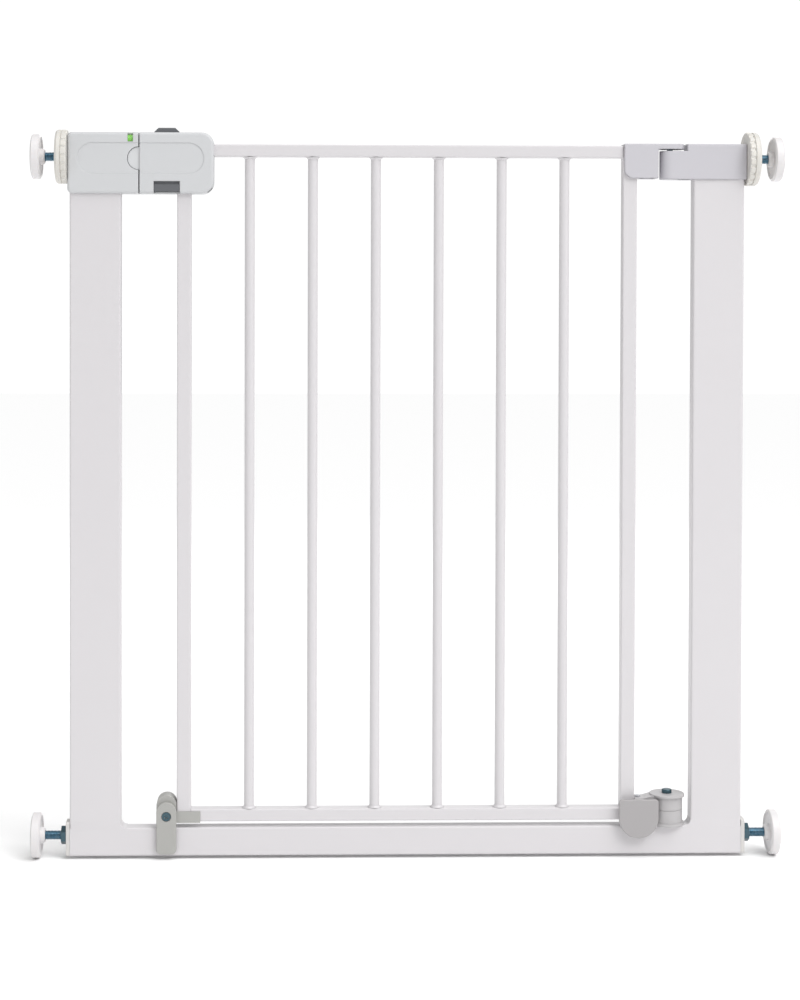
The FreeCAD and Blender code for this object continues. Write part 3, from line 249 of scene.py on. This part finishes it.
COAT = dict(grain=1300.0, bump=0.00003, drift=0.02, coat=0.15, dust=0.03)
COAT_COLOUR = (0.638, 0.62, 0.635)
# each finish's edge colour is lighter than its base: it stands for edge scuffs and for a painted edge highlight
FINISHES = {
    "white_coat": finish_of("white_powder_coat", COAT_COLOUR, 0.36, edge_scuff_and_highlight=0.06, scuff_and_highlight_colour=(0.72, 0.71, 0.72),
                            edge=0.0011, **COAT),
    "white_coat_weld": finish_of("white_coat_over_weld", COAT_COLOUR, 0.36, edge_scuff_and_highlight=0.0, edge=0.0, **COAT),
    "cap_plastic": finish_of("end_cap_grey", (0.60, 0.585, 0.57), 0.5, scuff_and_highlight_colour=(0.7, 0.69, 0.68)),
    "latch_shell": finish_of("latch_shell_grey", (0.568, 0.576, 0.588), 0.42, grain=2600.0, edge=0.0018,
                             scuff_and_highlight_colour=(0.64, 0.65, 0.66)),
    "keeper_plastic": finish_of("keeper_grey", (0.5, 0.51, 0.52), 0.4),
    "bolt_plastic": finish_of("bolt_grey", (0.62, 0.63, 0.64), 0.35),
    "button": finish_of("button_dark_grey", (0.115, 0.12, 0.13), 0.42, dust=0.12, edge_scuff_and_highlight=0.3,
                        scuff_and_highlight_colour=(0.22, 0.23, 0.24)),
    "flag_green": finish_of("flag_green", (0.24, 0.78, 0.05), 0.22, dust=0.0, edge_scuff_and_highlight=0.0, coat=0.3),
    "flag_red": finish_of("flag_red", (0.60, 0.03, 0.02), 0.22, dust=0.0, edge_scuff_and_highlight=0.0, coat=0.3),
    "window_clear": clear_window(),
    "hinge_shell": finish_of("hinge_shell_grey", (0.518, 0.508, 0.54), 0.44, grain=2600.0, edge=0.0022,
                             scuff_and_highlight_colour=(0.66, 0.65, 0.68)),
    # the lower hinge grey is set darker than the upper hinge's: partly its own grey, partly painted shade at the
    # foot of the gate
    "lower_hinge_shell": finish_of("lower_hinge_grey_and_painted_shade", (0.45, 0.438, 0.443), 0.44, scuff_and_highlight_colour=(0.68, 0.67, 0.67)),
    "shield_plastic": finish_of("shield_grey", (0.372, 0.358, 0.362), 0.46, scuff_and_highlight_colour=(0.5, 0.49, 0.49)),
    "stop_plastic": finish_of("stop_grey", (0.39, 0.388, 0.37), 0.46, scuff_and_highlight_colour=(0.54, 0.54, 0.52)),
    "white_plastic": finish_of("pad_white", (0.725, 0.705, 0.71), 0.4, glow_through=0.1),
    "ivory_plastic": finish_of("wheel_ivory", (0.66, 0.64, 0.60), 0.38, glow_through=0.1, edge=0.0008),
    "pad_rubber": finish_of("pad_rubber", (0.66, 0.65, 0.64), 0.7, grain=900.0, bump=0.00006, dust=0.15),
    "zinc": finish_of("bright_zinc", (0.62, 0.63, 0.66), 0.3, grain=1800.0, drift=0.12, metallic=1.0,
                      dust=0.03, edge_scuff_and_highlight=0.3, scuff_and_highlight_colour=(0.75, 0.75, 0.76), edge=0.0003),
    # the blue zinc is set dark: partly the plating's own blue tone, partly a painted reflection of dark
    # surroundings that this white studio lacks
    "blue_zinc": finish_of("blue_zinc", (0.115, 0.235, 0.32), 0.28, grain=1600.0, drift=0.3, metallic=1.0,
                           dust=0.03, edge_scuff_and_highlight=0.4, scuff_and_highlight_colour=(0.6, 0.65, 0.7), edge=0.0002),
    "dark_zinc": finish_of("dark_zinc", (0.075, 0.125, 0.15), 0.3, grain=1600.0, drift=0.3, metallic=1.0,
                           dust=0.02, edge_scuff_and_highlight=0.3, scuff_and_highlight_colour=(0.35, 0.4, 0.42), edge=0.0002),
    "spring_wire": finish_of("spring_steel", (0.5, 0.51, 0.53), 0.32, grain=1500.0, drift=0.15, metallic=1.0,
                             dust=0.02, edge_scuff_and_highlight=0.1, edge=0.0001),
}
SLOT_OF = {piece["node"]: piece["material_slot"] for piece in frame["record"]["subparts"]}

DARKER_METAL = ("bottom_left_nut", "bottom_right_nut", "lower_hinge_bolt", "upper_hinge_pin")
for node_name, node_object in frame["nodes"].items():
    finish_name = "dark_zinc" if node_name in DARKER_METAL else SLOT_OF[node_name]
    node_object.data.materials.clear()
    node_object.data.materials.append(FINISHES[finish_name])


# ---- pieces that stand for plain CAD nodes ---------------------------------------------------------

def geometry_tree(name, inputs):
    tree = bpy.data.node_groups.new(name, "GeometryNodeTree")
    tree.interface.new_socket(name="Geometry", in_out="OUTPUT", socket_type="NodeSocketGeometry")
    for socket_name, kind, value in inputs:
        socket = tree.interface.new_socket(name=socket_name, in_out="INPUT", socket_type=kind)
        if value is not None:
            socket.default_value = value
    return tree, tree.nodes.new("NodeGroupInput"), tree.nodes.new("NodeGroupOutput")


def grow(name, tree, values, material):
    """The tree's result with these input values, as a plain mesh object at the origin."""
    holder = bpy.data.objects.new(name + "_holder", bpy.data.meshes.new(name + "_holder"))
    bpy.context.scene.collection.objects.link(holder)
    modifier = holder.modifiers.new("Build", "NODES")
    modifier.node_group = tree
    for item in tree.interface.items_tree:
        if item.in_out == "INPUT" and item.name in values:
            modifier[item.identifier] = values[item.name]
    bpy.context.view_layer.update()
    graph = bpy.context.evaluated_depsgraph_get()
    mesh = bpy.data.meshes.new_from_object(holder.evaluated_get(graph))
    mesh.name = name
    holder.modifiers.remove(modifier)
    bpy.data.objects.remove(holder)
    mesh.materials.clear()
    mesh.materials.append(material)
    piece = bpy.data.objects.new(name, mesh)
    bpy.context.scene.collection.objects.link(piece)
    return piece


def tidy_mesh(piece, gap=1e-6, smooth_below=35):
    """Merges doubles, turns faces outwards and shades gentle turns smooth."""
    work = bmesh.new()
    work.from_mesh(piece.data)
    bmesh.ops.remove_doubles(work, verts=work.verts, dist=gap)
    bmesh.ops.recalc_face_normals(work, faces=work.faces)
    for face in work.faces:
        face.smooth = True
    for edge in work.edges:
        if len(edge.link_faces) == 2:
            edge.smooth = edge.calc_face_angle() < math.radians(smooth_below)
    work.to_mesh(piece.data)
    work.free()


def make_thread_tree():
    """A rolled thread along +X: a V ridge wound on a core, with a plain core end to end."""
    tree, given, out = geometry_tree("rolled_thread", [
        ("Start", "NodeSocketVector", None), ("Length", "NodeSocketFloat", 0.1),
        ("Pitch", "NodeSocketFloat", ROD_PITCH), ("Core Radius", "NodeSocketFloat", ROD_CORE),
        ("Crest Radius", "NodeSocketFloat", ROD_CREST), ("Finish", "NodeSocketMaterial", None)])
    turns = math_node(tree, "SUBTRACT", math_node(tree, "DIVIDE", given.outputs["Length"],
                                                  given.outputs["Pitch"]), 1.0)
    wound = math_node(tree, "MULTIPLY", turns, given.outputs["Pitch"])
    coil = add(tree, "GeometryNodeCurveSpiral", {"Resolution": 20, "Rotations": turns, "Height": wound,
                                                 "Start Radius": given.outputs["Core Radius"],
                                                 "End Radius": given.outputs["Core Radius"]})
    level = add(tree, "GeometryNodeSetCurveNormal", {"Curve": coil.outputs[0]})
    level.mode = "Z_UP"
    # the level normal points at the coil's own axis, so the crest lies on its minus side
    outwards = math_node(tree, "SUBTRACT", given.outputs["Core Radius"], given.outputs["Crest Radius"])
    half = math_node(tree, "MULTIPLY", given.outputs["Pitch"], 0.44)
    sunk = 0.0002
    corner_one = add(tree, "ShaderNodeCombineXYZ", {0: sunk, 1: half})
    corner_two = add(tree, "ShaderNodeCombineXYZ", {0: outwards, 1: math_node(tree, "MULTIPLY", half, 0.14)})
    corner_three = add(tree, "ShaderNodeCombineXYZ", {0: outwards, 1: math_node(tree, "MULTIPLY", half, -0.14)})
    corner_four = add(tree, "ShaderNodeCombineXYZ", {0: sunk, 1: math_node(tree, "MULTIPLY", half, -1.0)})
    ridge = add(tree, "GeometryNodeCurvePrimitiveQuadrilateral")
    ridge.mode = "POINTS"
    for number, corner in enumerate((corner_one, corner_two, corner_three, corner_four), 1):
        tree.links.new(corner.outputs[0], ridge.inputs["Point %d" % number])
    swept = add(tree, "GeometryNodeCurveToMesh", {"Curve": level.outputs[0], "Profile Curve": ridge.outputs[0],
                                                  "Fill Caps": True})
    low = math_node(tree, "MULTIPLY", given.outputs["Pitch"], 0.5)
    lifted = add(tree, "GeometryNodeTransform", {"Geometry": swept.outputs[0]})
    tree.links.new(add(tree, "ShaderNodeCombineXYZ", {2: low}).outputs[0], lifted.inputs["Translation"])
    core = add(tree, "GeometryNodeMeshCylinder", {"Vertices": 40, "Radius": given.outputs["Core Radius"],
                                                  "Depth": given.outputs["Length"]})
    raised = add(tree, "GeometryNodeTransform", {"Geometry": core.outputs[0]})
    middle = math_node(tree, "MULTIPLY", given.outputs["Length"], 0.5)
    tree.links.new(add(tree, "ShaderNodeCombineXYZ", {2: middle}).outputs[0], raised.inputs["Translation"])
    both = add(tree, "GeometryNodeJoinGeometry")
    tree.links.new(lifted.outputs[0], both.inputs[0])
    tree.links.new(raised.outputs[0], both.inputs[0])
    laid = add(tree, "GeometryNodeTransform", {"Geometry": both.outputs[0], "Rotation": (0, math.pi / 2, 0),
                                               "Translation": given.outputs["Start"]})
    real = add(tree, "GeometryNodeRealizeInstances", {"Geometry": laid.outputs[0]})
    dressed = add(tree, "GeometryNodeSetMaterial", {"Geometry": real.outputs[0],
                                                    "Material": given.outputs["Finish"]})
    tree.links.new(dressed.outputs[0], out.inputs[0])
    return tree


def make_threaded_rods():
    tree = make_thread_tree()
    for corner in ("top_left", "top_right", "bottom_left", "bottom_right"):
        low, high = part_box(corner + "_rod")
        rod = grow(corner + "_threaded_rod", tree, {
            "Start": Vector((low.x, (low.y + high.y) / 2, (low.z + high.z) / 2)), "Length": high.x - low.x,
            "Pitch": ROD_PITCH, "Core Radius": ROD_CORE, "Crest Radius": ROD_CREST}, FINISHES["blue_zinc"])
        tidy_mesh(rod)
        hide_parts(corner + "_rod")
        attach(rod, corner + "_spindle")


def bar_middles():
    """The middle of each upright bar, from the bars node's own corners."""
    across = sorted({round(v.co.x, 4) for v in frame["nodes"]["bars"].data.vertices})
    groups = [[across[0]]]
    for x in across[1:]:
        if x - groups[-1][-1] > 0.02:
            groups.append([x])
        else:
            groups[-1].append(x)
    return [(group[0] + group[-1]) / 2 for group in groups]


def make_weld_tree():
    """One flared weld bead on each bar end: points on a line carry a lathed ring with a wavy rim."""
    tree, given, out = geometry_tree("bar_weld_beads", [
        ("First", "NodeSocketVector", None), ("Step", "NodeSocketFloat", 0.067), ("Count", "NodeSocketInt", 6),
        ("Bar Radius", "NodeSocketFloat", 0.0053), ("Spread", "NodeSocketFloat", WELD_SPREAD),
        ("Height", "NodeSocketFloat", WELD_HIGH), ("Direction", "NodeSocketFloat", 1.0),
        ("Seed", "NodeSocketInt", 3), ("Finish", "NodeSocketMaterial", None)])
    line = add(tree, "GeometryNodeMeshLine", {"Count": given.outputs["Count"],
                                              "Start Location": given.outputs["First"]})
    tree.links.new(add(tree, "ShaderNodeCombineXYZ", {0: given.outputs["Step"]}).outputs[0],
                   line.inputs["Offset"])
    grid = add(tree, "GeometryNodeMeshGrid", {"Size X": 1.0, "Size Y": 1.0, "Vertices X": 49,
                                              "Vertices Y": 6})
    place = add(tree, "ShaderNodeSeparateXYZ", {0: add(tree, "GeometryNodeInputPosition").outputs[0]})
    angle = math_node(tree, "MULTIPLY", math_node(tree, "ADD", place.outputs[0], 0.5), 2 * math.pi)
    up = math_node(tree, "ADD", place.outputs[1], 0.5)
    away = math_node(tree, "SUBTRACT", 1.0, up)
    ripple = math_node(tree, "MULTIPLY", math_node(tree, "SINE", math_node(tree, "MULTIPLY", angle, 11.0)),
                       0.00012)
    snug = math_node(tree, "ADD", given.outputs["Bar Radius"], 0.00004)
    flare = math_node(tree, "MULTIPLY", away, given.outputs["Spread"])
    wide = math_node(tree, "ADD", math_node(tree, "ADD", snug, flare),
                     math_node(tree, "MULTIPLY", ripple, away))
    level = math_node(tree, "MULTIPLY", math_node(tree, "MULTIPLY", up, given.outputs["Height"]),
                      given.outputs["Direction"])
    spot = add(tree, "ShaderNodeCombineXYZ", {
        0: math_node(tree, "MULTIPLY", math_node(tree, "COSINE", angle), wide),
        1: math_node(tree, "MULTIPLY", math_node(tree, "SINE", angle), wide), 2: level})
    ring = add(tree, "GeometryNodeSetPosition", {"Geometry": grid.outputs[0], "Position": spot.outputs[0]})
    turned = add(tree, "FunctionNodeRandomValue", {"Seed": given.outputs["Seed"]}, data_type="FLOAT")
    turned.inputs[3].default_value = 6.28
    spin = add(tree, "ShaderNodeCombineXYZ", {2: turned.outputs[1]})
    beads = add(tree, "GeometryNodeInstanceOnPoints", {"Points": line.outputs[0], "Instance": ring.outputs[0]})
    tree.links.new(spin.outputs[0], beads.inputs["Rotation"])
    real = add(tree, "GeometryNodeRealizeInstances", {"Geometry": beads.outputs[0]})
    dressed = add(tree, "GeometryNodeSetMaterial", {"Geometry": real.outputs[0],
                                                    "Material": given.outputs["Finish"]})
    tree.links.new(dressed.outputs[0], out.inputs[0])
    return tree


def close_beads(piece):
    """Closes each bead's foot and head with a flat disc, so that every bead is a solid."""
    work = bmesh.new()
    work.from_mesh(piece.data)
    bmesh.ops.remove_doubles(work, verts=work.verts, dist=1e-6)
    rims = [edge for edge in work.edges if edge.is_boundary]
    bmesh.ops.holes_fill(work, edges=rims, sides=0)
    bmesh.ops.recalc_face_normals(work, faces=work.faces)
    work.to_mesh(piece.data)
    work.free()


def make_bar_welds():
    tree = make_weld_tree()
    middles = bar_middles()
    step = (middles[-1] - middles[0]) / (len(middles) - 1)
    low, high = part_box("bars")
    for end, foot, direction in (("lower", low.z, 1.0), ("upper", high.z, -1.0)):
        beads = grow(end + "_bar_welds", tree, {
            "First": Vector((middles[0], 0, foot)), "Step": step, "Count": len(middles),
            "Bar Radius": BAR_RADIUS, "Spread": WELD_SPREAD, "Height": WELD_HIGH,
            "Direction": direction, "Seed": 3}, FINISHES["white_coat"])
        close_beads(beads)
        tidy_mesh(beads, 1e-7, 50)
        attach(beads, "door")


def make_corner_dressings():
    """The ground and painted weld that hides the joint between each upright and the bottom rail."""
    proud, radius, ridge = 0.00004, 0.006, 0.002
    rail_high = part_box("bottom_rail")[1]
    for side, sign in (("left", -1.0), ("right", 1.0)):
        low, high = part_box(side + "_upright")
        outer, inner = (low.x, high.x) if sign < 0 else (high.x, low.x)
        top = rail_high.z + radius
        outline = [(outer + sign * proud, rail_high.z - ridge),
                   (inner - sign * (radius + 0.001), rail_high.z - ridge),
                   (inner - sign * radius, rail_high.z + proud)]
        for step in range(1, 9):
            turn = math.pi / 2 * step / 8
            outline.append((inner - sign * radius * (1 - math.sin(turn)),
                            top - (radius - proud) * math.cos(turn)))
        outline += [(inner, top + 0.0005), (outer + sign * proud, top + 0.0005)]
        work = bmesh.new()
        half = high.y + proud
        front = [work.verts.new((x, -half, z)) for x, z in outline]
        back = [work.verts.new((x, half, z)) for x, z in outline]
        work.faces.new(front)
        work.faces.new(back[::-1])
        for i in range(len(outline)):
            j = (i + 1) % len(outline)
            work.faces.new((front[j], front[i], back[i], back[j]))
        bmesh.ops.recalc_face_normals(work, faces=work.faces)
        outer_corners = [edge for edge in work.edges
                         if all(abs(v.co.x - (outer + sign * proud)) < 1e-6 for v in edge.verts)
                         and abs(edge.verts[0].co.z - edge.verts[1].co.z) > 0.001]
        bmesh.ops.bevel(work, geom=outer_corners, offset=0.002, segments=5, affect="EDGES", profile=0.5)
        mesh = bpy.data.meshes.new(side + "_corner_weld_dressing")
        work.to_mesh(mesh)
        work.free()
        mesh.materials.append(FINISHES["white_coat_weld"])
        piece = bpy.data.objects.new(mesh.name, mesh)
        bpy.context.scene.collection.objects.link(piece)
        tidy_mesh(piece, 1e-7, 40)
        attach(piece, "frame")


def cross_outline():
    wide, arm = RECESS_WIDE / 2, 0.00045
    return [(wide, -arm), (wide, arm), (arm, arm), (arm, wide), (-arm, wide), (-arm, arm),
            (-wide, arm), (-wide, -arm), (-arm, -arm), (-arm, -wide), (arm, -wide), (arm, -arm)]


def hexagon_outline():
    return [(SOCKET_WIDE / 2 * math.cos(math.pi / 3 * i), SOCKET_WIDE / 2 * math.sin(math.pi / 3 * i))
            for i in range(6)]


def recess_cutter(outline, centre, normal, deep, taper):
    """A prism that cuts a driver recess into a screw head at centre, whose head faces along normal."""
    work = bmesh.new()
    above = [work.verts.new((x * 1.03, y * 1.03, 0.0004)) for x, y in outline]
    below = [work.verts.new((x * taper, y * taper, -deep)) for x, y in outline]
    work.faces.new(above)
    work.faces.new(below[::-1])
    for i in range(len(outline)):
        j = (i + 1) % len(outline)
        work.faces.new((above[j], above[i], below[i], below[j]))
    bmesh.ops.recalc_face_normals(work, faces=work.faces)
    turn = Vector((0, 0, 1)).rotation_difference(normal).to_matrix().to_4x4()
    work.transform(Matrix.Translation(centre) @ turn @ Matrix.Rotation(0.5, 4, "Z"))
    mesh = bpy.data.meshes.new("recess_cutter")
    work.to_mesh(mesh)
    work.free()
    cutter = bpy.data.objects.new("recess_cutter", mesh)
    bpy.context.scene.collection.objects.link(cutter)
    return cutter


def head_centres(node, normal):
    """The middle of each flat head face of a screw node, the faces farthest along normal."""
    spots = [v.co.copy() for v in frame["nodes"][node].data.vertices]
    far = max(spot.dot(normal) for spot in spots)
    groups = []
    for spot in (spot for spot in spots if far - spot.dot(normal) < 1e-5):
        for group in groups:
            if (group[0] - spot).length < 0.012:
                group.append(spot)
                break
        else:
            groups.append([spot])
    centres = []
    for group in groups:
        low = Vector([min(spot[axis] for spot in group) for axis in range(3)])
        high = Vector([max(spot[axis] for spot in group) for axis in range(3)])
        centres.append((low + high) / 2)
    return centres


def make_recessed_screws():
    """The self-tapping screws with their cross recesses, and the stop's screw with its hexagon socket."""
    backwards, upwards, forwards = Vector((0, 1, 0)), Vector((0, 0, 1)), Vector((0, -1, 0))
    cross = (cross_outline(), RECESS_DEEP, 0.55, "zinc")
    socket = (hexagon_outline(), SOCKET_DEEP, 1.0, "dark_zinc")
    for node, body, normal, (outline, deep, taper, finish) in (
            ("frame_latch_screws", "frame", backwards, cross), ("gate_latch_screws", "door", backwards, cross),
            ("hinge_housing_screw", "frame", backwards, cross), ("upper_cap_screw", "door", backwards, cross),
            ("bracket_screw", "door", upwards, cross), ("stop_screw", "door", forwards, socket)):
        mesh = frame["nodes"][node].data.copy()
        mesh.name = node + "_recessed"
        screws = bpy.data.objects.new(mesh.name, mesh)
        bpy.context.scene.collection.objects.link(screws)
        tidy_mesh(screws)
        cutters = [recess_cutter(outline, centre, normal, deep, taper)
                   for centre in head_centres(node, normal)]
        for cutter in cutters:
            cut = screws.modifiers.new("Recess", "BOOLEAN")
            cut.operation, cut.solver, cut.object = "DIFFERENCE", "EXACT", cutter
        bpy.context.view_layer.update()
        graph = bpy.context.evaluated_depsgraph_get()
        screws.data = bpy.data.meshes.new_from_object(screws.evaluated_get(graph))
        screws.modifiers.clear()
        for cutter in cutters:
            bpy.data.objects.remove(cutter)
        screws.data.materials.clear()
        screws.data.materials.append(FINISHES[finish])
        tidy_mesh(screws)
        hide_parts(node)
        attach(screws, body)


def make_return_spring():
    """The bolt's coil spring: a copy of the spring node that moves with the bolt."""
    mesh = frame["nodes"]["bolt_spring"].data.copy()
    mesh.name = "bolt_return_spring"
    spring = bpy.data.objects.new(mesh.name, mesh)
    bpy.context.scene.collection.objects.link(spring)
    tidy_mesh(spring)
    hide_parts("bolt_spring")
    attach(spring, "bolt")
    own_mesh(spring)


def make_latch_web():
    """The web inside the gate latch that closes its end above the top rail."""
    low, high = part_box("gate_latch_front")
    rail_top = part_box("top_rail")[1].z
    half = -low.y - 0.0024
    near, far = high.x - 0.011, high.x - 0.0095
    base, top = rail_top + 0.0002, high.z - 0.0024
    corners = [Vector((x, y, z)) for x in (near, far) for y in (-half, half) for z in (base, top)]
    work = bmesh.new()
    bmesh.ops.convex_hull(work, input=[work.verts.new(corner) for corner in corners])
    mesh = bpy.data.meshes.new("gate_latch_web")
    work.to_mesh(mesh)
    work.free()
    mesh.materials.append(FINISHES["latch_shell"])
    web = bpy.data.objects.new(mesh.name, mesh)
    bpy.context.scene.collection.objects.link(web)
    tidy_mesh(web)
    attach(web, "door")


make_threaded_rods()
make_return_spring()
make_latch_web()
make_bar_welds()
make_corner_dressings()
make_recessed_screws()


# ---- floor, light and camera -----------------------------------------------------------------------

def plain_colour(name, colour, roughness):
    material = bpy.data.materials.new(name)
    material.use_nodes = True
    shader = material.node_tree.nodes["Principled BSDF"]
    shader.inputs["Base Color"].default_value = (*colour, 1)
    shader.inputs["Roughness"].default_value = roughness
    return material


def make_floor():
    low = -0.0005
    mesh = bpy.data.meshes.new("studio_floor")
    mesh.from_pydata([(-8, -6, low), (8, -6, low), (8, 10, low), (-8, 10, low)], [], [(0, 1, 2, 3)])
    floor = bpy.data.objects.new("studio_floor", mesh)
    floor.data.materials.append(plain_colour("pale_floor", (0.99, 0.99, 0.99), 0.95))
    bpy.context.scene.collection.objects.link(floor)


def soft_light(name, place, target, size, watts):
    lamp = bpy.data.lights.new(name, "AREA")
    lamp.shape = "RECTANGLE"
    lamp.size, lamp.size_y = size
    lamp.energy = watts
    holder = bpy.data.objects.new(name, lamp)
    holder.location = place
    holder.rotation_euler = (Vector(target) - Vector(place)).to_track_quat("-Z", "Y").to_euler()
    bpy.context.scene.collection.objects.link(holder)


def make_light():
    world = bpy.data.worlds.new("studio")
    world.use_nodes = True
    tree = world.node_tree
    sky = tree.nodes["Background"]
    sky.inputs["Color"].default_value = (1, 1, 1, 1)
    seen = add(tree, "ShaderNodeLightPath").outputs["Is Camera Ray"]
    tree.links.new(spread(tree, seen, 0.0, 1.0, 0.52, 1.05), sky.inputs["Strength"])
    bpy.context.scene.world = world
    soft_light("key", (1.5, -2.0, 2.2), (0, 0, 0.45), (1.2, 1.2), 22)
    soft_light("fill", (-2.4, -2.4, 1.0), (0, 0, 0.4), (1.6, 1.6), 3)
    sky_panel = bpy.data.lights.new("sky_panel", "SUN")
    sky_panel.energy = 1.75
    sky_panel.angle = 1.0
    above = bpy.data.objects.new("sky_panel", sky_panel)
    above.rotation_euler = Vector((-0.35, 0.4, -1.0)).to_track_quat("-Z", "Y").to_euler()
    bpy.context.scene.collection.objects.link(above)
    soft_light("back", (0.4, 2.6, 1.6), (0, 0, 0.4), (1.6, 1.2), 10)


def make_camera():
    yaw, pitch, roll = 0.0252, 0.0184, 0.0021
    forward = Vector((math.sin(yaw) * math.cos(pitch), math.cos(yaw) * math.cos(pitch), -math.sin(pitch)))
    right = Vector((math.cos(yaw), -math.sin(yaw), 0))
    above = right.cross(forward)
    right, above = (right * math.cos(roll) + above * math.sin(roll),
                    above * math.cos(roll) - right * math.sin(roll))
    lens = bpy.data.cameras.new("front_view")
    lens.sensor_fit = "AUTO"
    lens.sensor_width = 36.0
    lens.lens = 2054.18 * 36.0 / 1000
    lens.shift_x = 0.07
    lens.shift_y = -0.17
    lens.clip_start, lens.clip_end = 0.05, 60
    camera = bpy.data.objects.new("front_view", lens)
    turn = Matrix((right, above, -forward)).transposed()
    camera.matrix_world = Matrix.Translation((-0.1372, -2.1787, 0.6006)) @ turn.to_4x4()
    bpy.context.scene.collection.objects.link(camera)
    bpy.context.scene.camera = camera


make_floor()
make_light()
make_camera()
bpy.context.scene.view_settings.view_transform = "Standard"
